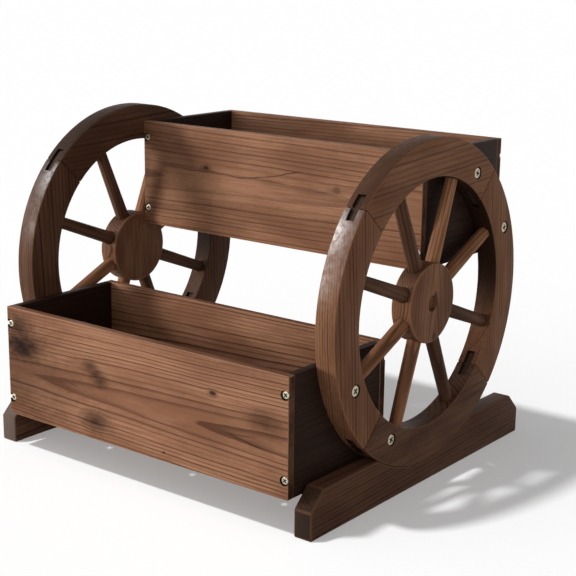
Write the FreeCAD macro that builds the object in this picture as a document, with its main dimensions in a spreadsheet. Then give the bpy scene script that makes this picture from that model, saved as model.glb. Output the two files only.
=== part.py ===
"""Two-tier wooden flower cart stand: two open boxes carried between two wagon wheels on feet.

Frame: X runs along the wheels' axle line, to the right. Y runs from front to back. Z is up.
The origin is on the ground, in the middle of the stand's width and depth. Sizes are millimetres.
The stand has no moving parts: the wheels are screwed to the boxes and seated in the feet.
"""

import FreeCAD, Part
import os
import re

import Sketcher
from FreeCAD import Placement, Rotation, Vector

# ---------------------------------------------------------------- driving dimensions

SIZES = {
    # boxes
    "box_length": (505, "length of both boxes, between the wheels"),
    "box_depth": (206, "depth of both boxes, over the front and back boards"),
    "board_height": (158.5, "height of the box boards"),
    "board_thick": (12, "thickness of the box boards"),
    "board_ease": (0.8, "easing of the box boards' arrises"),
    "lower_front": (-261, "where the lower box's front face stands, along Y"),
    "lower_bottom": (49, "height of the lower box's underside"),
    "upper_front": (21, "where the upper box's front face stands, along Y"),
    "upper_bottom": (285, "height of the upper box's underside"),
    "cleat_side": (15, "side of the square cleats under a box floor"),
    "cleat_lift": (4, "height of a cleat above the box's underside"),
    "floor_thick": (9, "thickness of the floor boards"),
    "floor_gap": (2, "gap beside and between the floor boards"),
    "drain_radius": (5, "radius of the drain holes"),
    "drain_step": (160, "distance between drain holes"),
    # wheels
    "wheel_radius": (220, "outer radius of the wheels"),
    "rim_width": (52, "radial width of the felloes"),
    "wheel_thick": (30, "thickness of the wheels"),
    "wheel_along": (8, "where the wheels' centre is, along Y"),
    "wheel_height": (249, "height of the wheels' centre"),
    "right_turn": (2, "how far the right wheel is turned, in degrees"),
    "left_turn": (1, "how far the left wheel is turned, in degrees"),
    "felloe_half": (44.92, "half the angle of a felloe: an eighth of a turn less the joint"),
    "tongue_half": (19, "half the length of a tongue, along the rim"),
    "tongue_thick": (11, "thickness of a tongue, along the axle"),
    "tongue_outer": (3.5, "how far a tongue ends inside the outer rim"),
    "tongue_inner": (4, "how far a tongue ends inside the inner rim"),
    "hub_radius": (54, "radius of the hub"),
    "hub_sides": (48, "sides of the hub's rim, which is drawn as a polygon"),
    "recess_radius": (11, "radius of the blind recess in the hub's face"),
    "recess_depth": (6, "depth of the blind recess in the hub's face"),
    "spoke_count": (8, "spokes in a wheel"),
    "spoke_sides": (14, "sides of a spoke and of its sockets, which are drawn as polygons"),
    "spoke_root": (10, "radius of a spoke at the hub"),
    "spoke_tip": (8.5, "radius of a spoke at the rim"),
    "hub_socket": (20, "depth of a spoke's socket in the hub"),
    "rim_socket": (14, "depth of a spoke's socket in a felloe"),
    "fit": (0.1, "clearance between a piece and its socket or hole"),
    "overshoot": (10, "how far a slot's or socket's cut reaches past the rim that it opens"),
    "tip_room": (1, "depth of a screw's hole past its tip"),
    "bore_sides": (10, "sides of screw heads, counterbores and drain holes, drawn as polygons"),
    "shank_sides": (6, "sides of screw shanks and their holes, drawn as polygons"),
    # feet
    "foot_length": (513, "length of the feet"),
    "foot_rear": (261, "where the feet end at the back, along Y"),
    "foot_height": (62, "height of the feet"),
    "foot_thick": (27, "thickness of the feet"),
    "foot_corner": (25, "size of the corners cut off the feet"),
    "seat_gap": (0.3, "gap between a wheel and its seat in a foot"),
    # screws that hold front and back boards to the side boards
    "board_screw_edge": (24.5, "distance of a board screw from the board's long edge"),
    "board_head": (5, "radius of a board screw's head"),
    "board_head_thick": (2, "thickness of a board screw's head"),
    "board_shank": (2, "radius of a board screw's shank"),
    "board_screw": (34, "length of a board screw under its head"),
    "board_bore": (6.5, "radius of a board screw's counterbore"),
    "board_bore_deep": (3, "depth of a board screw's counterbore"),
    # screws that hold the wheels to the boxes, with their places from the wheel's centre
    "wheel_head": (7.2, "radius of a wheel screw's head"),
    "wheel_head_thick": (2, "thickness of a wheel screw's head"),
    "wheel_shank": (2.5, "radius of a wheel screw's shank"),
    "wheel_screw": (37.5, "length of a wheel screw under its head"),
    "wheel_bore": (8.7, "radius of a wheel screw's counterbore"),
    "wheel_bore_deep": (2.5, "depth of a wheel screw's counterbore"),
    "pilot_deep": (10.5, "depth of a wheel screw's pilot hole in a side board"),
    "rear_along": (186, "screw in the rear felloe: distance behind the wheel's centre"),
    "rear_above": (74, "screw in the rear felloe: height above the wheel's centre"),
    "top_along": (104, "screw in the top felloe: distance behind the wheel's centre"),
    "top_above": (161, "screw in the top felloe: height above the wheel's centre"),
    "front_along": (-172, "screw in the front felloe: distance behind the wheel's centre"),
    "front_above": (-78, "screw in the front felloe: height above the wheel's centre"),
    "under_along": (-88, "screw in the bottom felloe: distance behind the wheel's centre"),
    "under_above": (-166, "screw in the bottom felloe: height above the wheel's centre"),
    # screws that hold the wheels in the feet, driven up from below
    "foot_screw_step": (38, "distance of a foot screw from the wheel's centre, along Y"),
    "foot_head": (5.5, "radius of a foot screw's head"),
    "foot_head_thick": (2.5, "thickness of a foot screw's head"),
    "foot_shank": (2.5, "radius of a foot screw's shank"),
    "foot_screw": (48, "length of a foot screw under its head"),
    "foot_bore": (6.5, "radius of a foot screw's counterbore"),
    "foot_bore_deep": (12, "depth of a foot screw's counterbore"),
}

doc = FreeCAD.newDocument("flower_cart_stand")
sheet = doc.addObject("Spreadsheet::Sheet", "Sizes")
for row, (alias, (number, meaning)) in enumerate(SIZES.items(), start=1):
    sheet.set(f"A{row}", meaning)
    sheet.set(f"B{row}", str(number))
    sheet.setAlias(f"B{row}", alias)
calculator = doc.addObject("App::FeaturePython", "Calculator")
calculator.addProperty("App::PropertyFloat", "Answer")
doc.recompute()

nodes = []

# ---------------------------------------------------------------- shared helpers


def bind(text):
    """Turn a formula in size names into one that names the sheet's cells."""
    return re.sub(r"[a-z_]+", lambda word: f"Sizes.{word[0]}" if word[0] in SIZES else word[0], text)


def value(text):
    """What a formula in size names comes to."""
    calculator.setExpression("Answer", bind(text))
    calculator.recompute()
    return calculator.Answer


def turned(outward, up):
    """The rotation that points a piece's own Z outward and its own Y up."""
    return Rotation(Vector(), up, outward, "ZYX")


def place(piece, x, y, z, rotation):
    """Put a piece at a place given by three formulas."""
    piece.Placement = Placement(Vector(), rotation)
    for axis, text in zip("xyz", (x, y, z)):
        piece.setExpression(f"Placement.Base.{axis}", bind(text))


def new_body(label):
    body = doc.addObject("PartDesign::Body", label)
    body.Label = label
    return body


def new_node(label):
    body = new_body(label)
    nodes.append(body)
    return body


def origin_plane(body, role):
    return next(plane for plane in body.Origin.OriginFeatures if plane.Role == role)


def new_sketch(body, role, level="0", turn=None):
    """A sketch on a body's own origin plane, lifted to a level, or turned about its own Y axis."""
    sketch = body.newObject("Sketcher::SketchObject", f"{body.Label}_sketch")
    sketch.AttachmentSupport = (origin_plane(body, role), [""])
    sketch.MapMode = "FlatFace"
    if turn is None:
        sketch.setExpression("AttachmentOffset.Base.z", bind(level))
    else:
        turning = Rotation(Vector(0, 1, 0), turn)
        sketch.AttachmentOffset = Placement(turning.multVec(Vector(0, 0, value(level))), turning)
    return sketch


def pin_point(sketch, line, end, x, y):
    """Hold one end of an edge at a place given by two formulas."""
    for kind, text in (("DistanceX", x), ("DistanceY", y)):
        index = sketch.addConstraint(Sketcher.Constraint(kind, -1, 1, line, end, value(text)))
        sketch.setExpression(f"Constraints[{index}]", bind(text))


def hold_radius(sketch, edge, radius):
    """Hold the radius of a circle or arc at a formula."""
    index = sketch.addConstraint(Sketcher.Constraint("Radius", edge, value(radius)))
    sketch.setExpression(f"Constraints[{index}]", bind(radius))


def draw_outline(sketch, corners, arcs=None):
    """Draw a closed outline. arcs gives, for the edge that leaves a corner, its centre and radius."""
    arcs = arcs or {}
    first = sketch.GeometryCount
    points = [Vector(value(x), value(y), 0) for x, y in corners]
    for index, start in enumerate(points):
        stop = points[(index + 1) % len(points)]
        if index in arcs:
            centre_x, centre_y, radius = (value(text) for text in arcs[index])
            centre = Vector(centre_x, centre_y, 0)
            middle = (start + stop) * 0.5 - centre
            crown = centre + middle.normalize() * radius
            turns_left = (start - centre).cross(stop - centre).z > 0
            ends = (start, stop) if turns_left else (stop, start)
            sketch.addGeometry(Part.Arc(ends[0], crown, ends[1]))
        else:
            sketch.addGeometry(Part.LineSegment(start, stop))
    starts = {}
    for index, start in enumerate(points):
        geometry = sketch.Geometry[first + index]
        ends = (geometry.StartPoint, geometry.EndPoint)
        starts[index] = 1 if ends[0].distanceToPoint(start) < ends[1].distanceToPoint(start) else 2
    for index, (x, y) in enumerate(corners):
        before = (index - 1) % len(corners)
        before_end = 3 - starts[before]
        sketch.addConstraint(
            Sketcher.Constraint(
                "Coincident", first + before, before_end, first + index, starts[index]
            )
        )
        pin_point(sketch, first + index, starts[index], x, y)
    for index, (_, _, radius) in arcs.items():
        hold_radius(sketch, first + index, radius)


def draw_circle(sketch, x, y, radius):
    circle = sketch.addGeometry(
        Part.Circle(Vector(value(x), value(y), 0), Vector(0, 0, 1), value(radius))
    )
    pin_point(sketch, circle, 3, x, y)
    hold_radius(sketch, circle, radius)


def draw_polygon(sketch, x, y, radius, sides):
    """Draw a regular polygon with its corners at a radius from its centre."""
    count = int(value(sides))
    corners = []
    for number in range(count):
        angle = f"({number} * 360 / {sides} * 1deg)"
        corners.append((f"{x} + ({radius}) * cos{angle}", f"{y} + ({radius}) * sin{angle}"))
    draw_outline(sketch, corners)


def draw_openings(sketch, centres, radius, sides):
    """Draw polygons whose sides touch a circle of the given radius, so that it passes through."""
    for x, y in centres:
        draw_polygon(sketch, x, y, f"({radius}) / cos(180deg / {sides})", sides)


def pad(body, sketch, length, downward=False):
    feature = body.newObject("PartDesign::Pad", f"{body.Label}_pad")
    feature.Profile = (sketch, [""])
    feature.setExpression("Length", bind(length))
    feature.Reversed = downward
    doc.recompute()
    return feature


def ease(body, size):
    """Take the sharpness off every edge that the body has so far."""
    base = body.Tip
    feature = body.newObject("PartDesign::Chamfer", f"{body.Label}_easing")
    feature.Base = (base, [""])
    feature.UseAllEdges = True
    feature.setExpression("Size", bind(size))
    doc.recompute()


def check_cut(body, before):
    doc.recompute()
    if body.Shape.Volume > before - 1:
        raise RuntimeError(f"a cut in {body.Label} removed nothing")


def cut(body, sketch, depth, along_normal=False):
    """Cut a sketch's outline out of a body, against the sketch's normal or along it."""
    before = body.Shape.Volume
    feature = body.newObject("PartDesign::Pocket", f"{body.Label}_cut")
    feature.Profile = (sketch, [""])
    feature.setExpression("Length", bind(depth))
    feature.Reversed = along_normal
    check_cut(body, before)
    return feature


def drill(body, role, level, spots, name, depth, bore_depth=None, along_normal=False):
    """Cut the holes of one kind of screw at spots of a plane, with or without counterbores."""
    if bore_depth:
        counterbores = new_sketch(body, role, level)
        draw_openings(counterbores, spots, f"{name}_bore", "bore_sides")
        cut(body, counterbores, bore_depth, along_normal)
    holes = new_sketch(body, role, level)
    draw_openings(holes, spots, f"{name}_shank + fit", "shank_sides")
    return cut(body, holes, depth, along_normal)


def mirror(body, features, role):
    """Repeat cuts on the other side of one of the body's own origin planes."""
    before = body.Shape.Volume
    feature = body.newObject("PartDesign::Mirrored", f"{body.Label}_mirror")
    feature.Originals = features
    feature.MirrorPlane = (origin_plane(body, role), [""])
    body.Tip = feature
    check_cut(body, before)


# ---------------------------------------------------------------- boxes


def rectangle(body, length, height, thick, easing):
    """A flat board: length along X, height along Y from 0, its outer face at the top."""
    sketch = new_sketch(body, "XY_Plane")
    half = f"({length}) / 2"
    draw_outline(
        sketch, [(f"-{half}", "0"), (half, "0"), (half, height), (f"-{half}", height)]
    )
    pad(body, sketch, thick)
    ease(body, easing)


def face_board(label, front_face, bottom, outward):
    """A front or back board, which runs the box's full length and is screwed to the side boards."""
    body = new_node(label)
    rectangle(body, "box_length", "board_height", "board_thick", "board_ease")
    column = "(box_length - board_thick) / 2"
    rows = ("board_screw_edge", "board_height - board_screw_edge")
    spots = [(f"{sign}{column}", row) for sign in ("-", "") for row in rows]
    drill(body, "XY_Plane", "board_thick", spots, "board", "board_thick", "board_bore_deep")
    inner_face = f"{front_face} - {outward} * board_thick"
    place(body, "0", inner_face, bottom, turned(Vector(0, outward, 0), Vector(0, 0, 1)))


def side_board(label, front, bottom, side, screw_names):
    """A side board, which stands between front and back and takes their screws and two of the wheel's."""
    body = new_node(label)
    length = "box_depth - 2 * board_thick"
    rectangle(body, length, "board_height", "board_thick", "board_ease")
    rows = ("board_screw_edge", "board_height - board_screw_edge")
    spots = [(row, "board_thick / 2") for row in rows]
    depth = "board_screw + board_bore_deep - board_thick + tip_room"
    pilots = drill(body, "YZ_Plane", f"({length}) / 2", spots, "board", depth)
    mirror(body, [pilots], "YZ_Plane")
    middle = f"({front} + box_depth / 2)"
    spots = [
        (f"{side} * (wheel_along + {name}_along - {middle})", f"wheel_height + {name}_above - {bottom}")
        for name in screw_names
    ]
    drill(body, "XY_Plane", "board_thick", spots, "wheel", "pilot_deep")
    inner_face = f"{side} * (box_length / 2 - board_thick)"
    place(body, inner_face, middle, bottom, turned(Vector(side, 0, 0), Vector(0, 0, 1)))


def cleat(label, front, bottom, side):
    """A square bar across the end of a box, on which the floor boards lie."""
    bar = doc.addObject("Part::Box", label)
    bar.Label = label
    bar.setExpression("Length", bind("cleat_side"))
    bar.setExpression("Width", bind("box_depth - 2 * board_thick"))
    bar.setExpression("Height", bind("cleat_side"))
    inner = f"{side} * (box_length / 2 - board_thick)"
    place(
        bar,
        inner if side < 0 else f"{inner} - cleat_side",
        f"{front} + board_thick",
        f"{bottom} + cleat_lift",
        Rotation(),
    )
    nodes.append(bar)


def floor_board(label, front, bottom, row):
    """One of two boards side by side that make a box's floor, with three drain holes."""
    body = new_node(label)
    width = "(box_depth - 2 * board_thick - 3 * floor_gap) / 2"
    length = "box_length - 2 * board_thick - 2 * floor_gap"
    rectangle(body, length, width, "floor_thick", "board_ease")
    sketch = new_sketch(body, "XY_Plane", "floor_thick")
    columns = ("-drain_step", "0", "drain_step")
    draw_openings(sketch, [(column, f"{width} / 2") for column in columns], "drain_radius", "bore_sides")
    cut(body, sketch, "floor_thick")
    start = f"{front} + board_thick + floor_gap + {row} * ({width} + floor_gap)"
    place(body, "0", start, f"{bottom} + cleat_lift + cleat_side", Rotation())


def box(name, front, bottom, screw_names):
    """One open planter box: four boards, two cleats and two floor boards."""
    face_board(f"{name}_front_board", front, bottom, -1)
    face_board(f"{name}_back_board", f"{front} + box_depth", bottom, 1)
    for hand, side in (("left", -1), ("right", 1)):
        side_board(f"{name}_{hand}_side_board", front, bottom, side, screw_names)
        cleat(f"{name}_{hand}_cleat", front, bottom, side)
    floor_board(f"{name}_front_floor_board", front, bottom, 0)
    floor_board(f"{name}_rear_floor_board", front, bottom, 1)


box("lower", "lower_front", "lower_bottom", ("front", "under"))
box("upper", "upper_front", "upper_bottom", ("top", "rear"))

# ---------------------------------------------------------------- wheels

# Each wheel is made flat, its inner face on XY and its outer face up, with X along the middle of
# the felloe, spoke or joint, and is then turned up and moved to its place.

RIM_INNER = "(wheel_radius - rim_width)"


def wheel_rotation(side, angle):
    """Point a piece's X from the wheel's centre at an angle, from back towards up, and its Z outward."""
    along = Rotation(Vector(1, 0, 0), angle).multVec(Vector(0, 1, 0))
    return Rotation(along, Vector(), Vector(side, 0, 0), "ZXY")


def place_on_wheel(piece, side, angle):
    place(
        piece,
        f"{side} * box_length / 2",
        "wheel_along",
        "wheel_height",
        wheel_rotation(side, angle),
    )


def felloe(label, side, angle, screw_name, in_foot):
    """A quarter of the rim, cut from a straight-grained plank, with sockets, slots and a screw hole."""
    body = new_node(label)
    outline = new_sketch(body, "XY_Plane")
    cosine = "cos(felloe_half * 1deg)"
    sine = "sin(felloe_half * 1deg)"
    corners = [
        (f"{RIM_INNER} * {cosine}", f"-{RIM_INNER} * {sine}"),
        (f"wheel_radius * {cosine}", f"-wheel_radius * {sine}"),
        (f"wheel_radius * {cosine}", f"wheel_radius * {sine}"),
        (f"{RIM_INNER} * {cosine}", f"{RIM_INNER} * {sine}"),
    ]
    draw_outline(outline, corners, {1: ("0", "0", "wheel_radius"), 3: ("0", "0", RIM_INNER)})
    pad(body, outline, "wheel_thick")

    slot = new_sketch(body, "XY_Plane", "(wheel_thick + tongue_thick) / 2 + fit")
    start, stop = f"({RIM_INNER} - overshoot)", "(wheel_radius + overshoot)"
    inside = "(tongue_half + fit)"
    draw_outline(
        slot,
        [
            (f"({start} + {inside}) / sqrt(2)", f"({start} - {inside}) / sqrt(2)"),
            (f"({stop} + {inside}) / sqrt(2)", f"({stop} - {inside}) / sqrt(2)"),
            (f"({stop} - overshoot) / sqrt(2)", f"({stop} + overshoot) / sqrt(2)"),
            (f"({start} - overshoot) / sqrt(2)", f"({start} + overshoot) / sqrt(2)"),
        ],
    )
    slot_cut = cut(body, slot, "tongue_thick + 2 * fit")
    socket = new_sketch(body, "YZ_Plane", turn=180 / value("spoke_count"))
    draw_openings(socket, [("0", "wheel_thick / 2")], "spoke_tip + fit", "spoke_sides")
    socket_cut = cut(body, socket, f"{RIM_INNER} + rim_socket", along_normal=True)
    mirror(body, [slot_cut, socket_cut], "XZ_Plane")

    along, above = f"{screw_name}_along", f"{screw_name}_above"
    cosine = f"cos({angle} * 1deg)"
    sine = f"sin({angle} * 1deg)"
    spot = (
        f"{along} * {cosine} + {above} * {sine}",
        f"{side} * ({above} * {cosine} - {along} * {sine})",
    )
    drill(body, "XY_Plane", "wheel_thick", [spot], "wheel", "wheel_thick", "wheel_bore_deep")
    if in_foot:
        pilots = new_sketch(body, "YZ_Plane", turn=side * (270 - angle))
        steps = [(f"{sign}foot_screw_step", "wheel_thick / 2") for sign in ("-", "")]
        draw_openings(pilots, steps, "foot_shank + fit", "shank_sides")
        pilots.AttachmentOffset = Placement(
            pilots.AttachmentOffset.Rotation.multVec(
                Vector(0, 0, value("wheel_height - foot_bore_deep - foot_screw - tip_room"))
            ),
            pilots.AttachmentOffset.Rotation,
        )
        cut(body, pilots, "foot_screw", along_normal=True)
    place_on_wheel(body, side, angle)


def tongue(label, side, angle):
    """A loose tongue that bridges the joint between two felloes, a little short of both rims."""
    body = new_node(label)
    sketch = new_sketch(body, "XY_Plane", "(wheel_thick - tongue_thick) / 2")
    inner = f"({RIM_INNER} + tongue_inner)"
    outer = "(wheel_radius - tongue_outer)"
    corners = [
        (f"sqrt({inner}^2 - tongue_half^2)", "-tongue_half"),
        (f"sqrt({outer}^2 - tongue_half^2)", "-tongue_half"),
        (f"sqrt({outer}^2 - tongue_half^2)", "tongue_half"),
        (f"sqrt({inner}^2 - tongue_half^2)", "tongue_half"),
    ]
    draw_outline(sketch, corners, {1: ("0", "0", outer), 3: ("0", "0", inner)})
    pad(body, sketch, "tongue_thick")
    place_on_wheel(body, side, angle)


def hub(label, side, angle):
    """The round hub: a blind recess in its outer face and a ring of blind sockets for the spokes."""
    body = new_node(label)
    disc = new_sketch(body, "XY_Plane")
    draw_polygon(disc, "0", "0", "hub_radius", "hub_sides")
    pad(body, disc, "wheel_thick")
    recess = new_sketch(body, "XY_Plane", "wheel_thick")
    draw_circle(recess, "0", "0", "recess_radius")
    cut(body, recess, "recess_depth")
    sketch = new_sketch(body, "YZ_Plane", "hub_radius - hub_socket")
    draw_openings(sketch, [("0", "wheel_thick / 2")], "spoke_root + fit", "spoke_sides")
    socket = cut(body, sketch, "hub_socket + overshoot", along_normal=True)
    before = body.Shape.Volume
    ring = body.newObject("PartDesign::PolarPattern", f"{body.Label}_sockets")
    ring.Originals = [socket]
    ring.Axis = (next(axis for axis in body.Origin.OriginFeatures if axis.Role == "Z_Axis"), [""])
    ring.Angle = 360
    ring.setExpression("Occurrences", bind("spoke_count"))
    body.Tip = ring
    check_cut(body, before)
    place_on_wheel(body, side, angle)


def spoke(label, side, angle):
    """A turned spoke that tapers from the hub to the rim, its ends in sockets."""
    body = new_node(label)
    root = "(hub_radius - hub_socket + fit)"
    tip = f"({RIM_INNER} + rim_socket - fit)"
    sketch = new_sketch(body, "XY_Plane", root)
    draw_polygon(sketch, "0", "0", "spoke_root", "spoke_sides")
    shaft = pad(body, sketch, f"{tip} - {root}")
    taper = body.newObject("PartDesign::Draft", f"{body.Label}_taper")
    sides = [f"Face{n}" for n, face in enumerate(shaft.Shape.Faces, 1) if abs(face.normalAt(0, 0).z) < 0.5]
    ends = [f"Face{n}" for n, face in enumerate(shaft.Shape.Faces, 1) if face.normalAt(0, 0).z < -0.5]
    taper.Base = (shaft, sides)
    taper.NeutralPlane = (shaft, ends)
    slope = f"atan((spoke_root - spoke_tip) * cos(180deg / spoke_sides) / ({tip} - {root}))"
    taper.setExpression("Angle", bind(slope))
    doc.recompute()
    outward = wheel_rotation(side, angle)
    place(
        body,
        f"{side} * (box_length + wheel_thick) / 2",
        "wheel_along",
        "wheel_height",
        outward * Rotation(Vector(0, 1, 0), 90),
    )


def wheel(hand, side, turn):
    """One spoked wheel: four felloes, four tongues, a hub and the spokes."""
    name = f"{hand}_wheel"
    quarters = (("rear", 0, "rear"), ("top", 90, "top"), ("front", 180, "front"), ("bottom", 270, "under"))
    for quarter, angle, screw_name in quarters:
        felloe(f"{name}_{quarter}_felloe", side, angle + turn, screw_name, quarter == "bottom")
    joints = (("top_rear", 45), ("top_front", 135), ("bottom_front", 225), ("bottom_rear", 315))
    for joint, angle in joints:
        tongue(f"{name}_{joint}_tongue", side, angle + turn)
    count = int(value("spoke_count"))
    first = 180 / count + turn
    hub(f"{name}_hub", side, first)
    for number in range(count):
        spoke(f"{name}_spoke_{number + 1}", side, first + number * 360 / count)


wheel("right", 1, value("right_turn"))
wheel("left", -1, value("left_turn"))

# ---------------------------------------------------------------- feet


def foot(label, side):
    """A beam under a wheel, with an arc cut in its top that the wheel sits in."""
    body = new_node(label)
    sketch = new_sketch(body, "YZ_Plane")
    front = "(foot_rear - foot_length)"
    seat = "(wheel_radius + seat_gap)"
    half_seat = f"sqrt({seat}^2 - (wheel_height - foot_height)^2)"
    corners = [
        (front, "0"),
        ("foot_rear", "0"),
        ("foot_rear", "foot_height - foot_corner"),
        ("foot_rear - foot_corner", "foot_height"),
        (f"wheel_along + {half_seat}", "foot_height"),
        (f"wheel_along - {half_seat}", "foot_height"),
        (f"{front} + foot_corner", "foot_height"),
        (front, "foot_height - foot_corner"),
    ]
    draw_outline(sketch, corners, {4: ("wheel_along", "wheel_height", seat)})
    pad(body, sketch, "foot_thick")
    across = f"foot_thick / 2 + {side} * (foot_thick - wheel_thick) / 2"
    steps = [(across, f"wheel_along {sign} foot_screw_step") for sign in ("-", "+")]
    drill(body, "XY_Plane", "0", steps, "foot", "foot_height", "foot_bore_deep", along_normal=True)
    outer = f"{side} * (box_length / 2 + wheel_thick)"
    place(body, outer if side < 0 else f"{outer} - foot_thick", "0", "0", Rotation())


foot("right_foot", 1)
foot("left_foot", -1)

# ---------------------------------------------------------------- screws


def screw_form(name):
    """The form of one kind of screw, its head's underside at Z 0 and its shank pointing down."""
    body = new_body(f"{name}_screw_form")
    head = new_sketch(body, "XY_Plane")
    draw_polygon(head, "0", "0", f"{name}_head", "bore_sides")
    pad(body, head, f"{name}_head_thick")
    shank = new_sketch(body, "XY_Plane")
    draw_polygon(shank, "0", "0", f"{name}_shank", "shank_sides")
    pad(body, shank, f"{name}_screw", downward=True)
    return body


def screw_group(label, form, spots):
    """Identical screws as separate solids of one node, each at its place and pointing inward."""
    links = []
    for number, (spot, outward) in enumerate(spots, start=1):
        link = doc.addObject("App::Link", f"{label}_{number}")
        link.LinkedObject = form
        rotation = Rotation(Vector(0, 0, 1), Vector(*outward))
        link.Placement = Placement(Vector(*(value(text) for text in spot)), rotation)
        links.append(link)
    group = doc.addObject("Part::Compound", label)
    group.Label = label
    group.Links = links
    nodes.append(group)


def board_screw_spots(front, bottom):
    spots = []
    for outward in (-1, 1):
        face = f"{front} + {'box_depth - board_bore_deep' if outward > 0 else 'board_bore_deep'}"
        for side in (-1, 1):
            across = f"{side} * (box_length - board_thick) / 2"
            for row in ("board_screw_edge", "board_height - board_screw_edge"):
                spots.append(((across, face, f"{bottom} + {row}"), (0, outward, 0)))
    return spots


def wheel_screw_spots(side):
    across = f"{side} * (box_length / 2 + wheel_thick - wheel_bore_deep)"
    return [
        ((across, f"wheel_along + {name}_along", f"wheel_height + {name}_above"), (side, 0, 0))
        for name in ("rear", "top", "front", "under")
    ]


def foot_screw_spots(side):
    across = f"{side} * (box_length + wheel_thick) / 2"
    return [
        ((across, f"wheel_along {sign} foot_screw_step", "foot_bore_deep"), (0, 0, -1))
        for sign in ("-", "+")
    ]


board_screw = screw_form("board")
wheel_screw = screw_form("wheel")
foot_screw = screw_form("foot")
screw_group("lower_box_screws", board_screw, board_screw_spots("lower_front", "lower_bottom"))
screw_group("upper_box_screws", board_screw, board_screw_spots("upper_front", "upper_bottom"))
screw_group("right_wheel_screws", wheel_screw, wheel_screw_spots(1))
screw_group("left_wheel_screws", wheel_screw, wheel_screw_spots(-1))
screw_group("foot_screws", foot_screw, foot_screw_spots(1) + foot_screw_spots(-1))

# ---------------------------------------------------------------- check and write

doc.recompute()
for thing in doc.Objects:
    if "Invalid" in thing.State or "Error" in thing.State:
        raise RuntimeError(f"{thing.Label} failed: {thing.State}")
for node in nodes:
    if node.Shape.isNull() or not node.Shape.isValid():
        raise RuntimeError(f"{node.Label} has no valid shape")

os.makedirs("parts", exist_ok=True)
for node in nodes:
    node.Shape.exportStep(f"parts/{node.Label}.step")
print(f"{len(nodes)} sub-parts written")
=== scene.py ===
# %% [markdown]
# # A two-tier flower cart stand
# Two open wooden boxes hang between two wagon wheels, and the wheels stand in two feet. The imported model
# gives every piece its place and size. This lesson gives each piece softened edges, drilled holes with clean
# rims and stained softwood with knots. Sizes are metres. X runs along the axle line, Y goes back, Z goes up.

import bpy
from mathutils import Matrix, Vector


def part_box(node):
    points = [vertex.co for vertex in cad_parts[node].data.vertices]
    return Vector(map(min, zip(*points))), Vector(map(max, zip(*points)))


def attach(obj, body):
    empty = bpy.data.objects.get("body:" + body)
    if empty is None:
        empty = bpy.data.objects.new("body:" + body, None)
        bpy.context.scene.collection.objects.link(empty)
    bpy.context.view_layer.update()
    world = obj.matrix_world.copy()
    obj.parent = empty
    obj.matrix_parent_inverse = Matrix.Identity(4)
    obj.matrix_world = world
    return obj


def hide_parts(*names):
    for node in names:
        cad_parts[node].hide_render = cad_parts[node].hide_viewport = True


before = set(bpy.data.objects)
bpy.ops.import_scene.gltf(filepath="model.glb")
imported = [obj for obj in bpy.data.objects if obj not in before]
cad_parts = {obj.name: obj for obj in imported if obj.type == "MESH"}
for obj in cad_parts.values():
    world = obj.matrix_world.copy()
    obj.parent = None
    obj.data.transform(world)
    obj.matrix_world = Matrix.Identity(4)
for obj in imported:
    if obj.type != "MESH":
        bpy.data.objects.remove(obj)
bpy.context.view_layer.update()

import math

import bpy
import numpy as np
from mathutils import Quaternion, Vector

print("nodes in the frame:", len(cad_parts))

# %% [markdown]
# ## Sizes from the frame
# A piece that replaces a node has to stay where the node is, so its size comes from the node's box. Only what
# a box can't tell, such as the radius of a hole, is a value of its own here.

# %% Read the main sizes


def span(*nodes):
    """The lowest and highest corner of several nodes together."""
    lows, highs = zip(*(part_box(node) for node in nodes))
    return Vector(np.min(lows, axis=0)), Vector(np.max(highs, axis=0))


QUARTERS = ("rear", "top", "front", "bottom")
rim_low, rim_high = span(*(f"right_wheel_{quarter}_felloe" for quarter in QUARTERS))
WHEEL_INNER = rim_low.x
WHEEL_THICK = rim_high.x - rim_low.x
WHEEL_CENTRE = (rim_low + rim_high) / 2
WHEEL_RADIUS = (rim_high.z - rim_low.z) / 2
RIM_WIDTH = 0.052
HUB_RADIUS = 0.054
ROOT_RADIUS, TIP_RADIUS = 0.010, 0.0085
ROOT_SOCKET, TIP_SOCKET = 0.020, 0.014
TURN = {"right": 2.0, "left": 1.0}
SIDE = {"right": 1, "left": -1}
print("wheel radius", round(WHEEL_RADIUS, 4), "centre", [round(c, 4) for c in WHEEL_CENTRE])

# %% [markdown]
# ## Helpers for modelling
# An operator works on all that is selected, and loading leaves the nodes selected, so each new piece starts
# with nothing selected. A finished piece keeps its place in its mesh, so every helper ends by applying the
# object's transform.

# %% Start a piece and rest it in its mesh
UP = Vector((0, 0, 1))


def deselect():
    bpy.ops.object.select_all(action="DESELECT")


def select(*pieces):
    deselect()
    for piece in pieces:
        piece.select_set(True)
    bpy.context.view_layer.objects.active = pieces[0]


def rest(piece):
    """Move an object's place, turn and scale into its mesh."""
    select(piece)
    bpy.ops.object.transform_apply(location=True, rotation=True, scale=True)
    return piece


def block(size, middle, turn=(0, 0, 0)):
    """A block, as a start for boards and beams and as a cutter."""
    deselect()
    bpy.ops.mesh.primitive_cube_add(size=1, location=middle, rotation=turn)
    piece = bpy.context.object
    piece.scale = size
    return rest(piece)


def aim(piece, axis, spot, spin=0):
    """Spin a piece round its own Z, turn that Z along an axis, and rest the piece at a spot."""
    piece.rotation_mode = "QUATERNION"
    piece.rotation_quaternion = UP.rotation_difference(Vector(axis)) @ Quaternion(UP, spin)
    piece.location = spot
    return rest(piece)


def rod(centre, axis, radius, length, sides=48):
    """A round rod, as a start for hubs and screws and as a cutter."""
    deselect()
    bpy.ops.mesh.primitive_cylinder_add(vertices=sides, radius=radius, depth=length)
    return aim(bpy.context.object, axis, centre)


def enter_edit(piece, action="SELECT"):
    """Open a piece's mesh, with all or nothing of it selected."""
    select(piece)
    bpy.ops.object.mode_set(mode="EDIT")
    bpy.ops.mesh.select_all(action=action)


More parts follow.
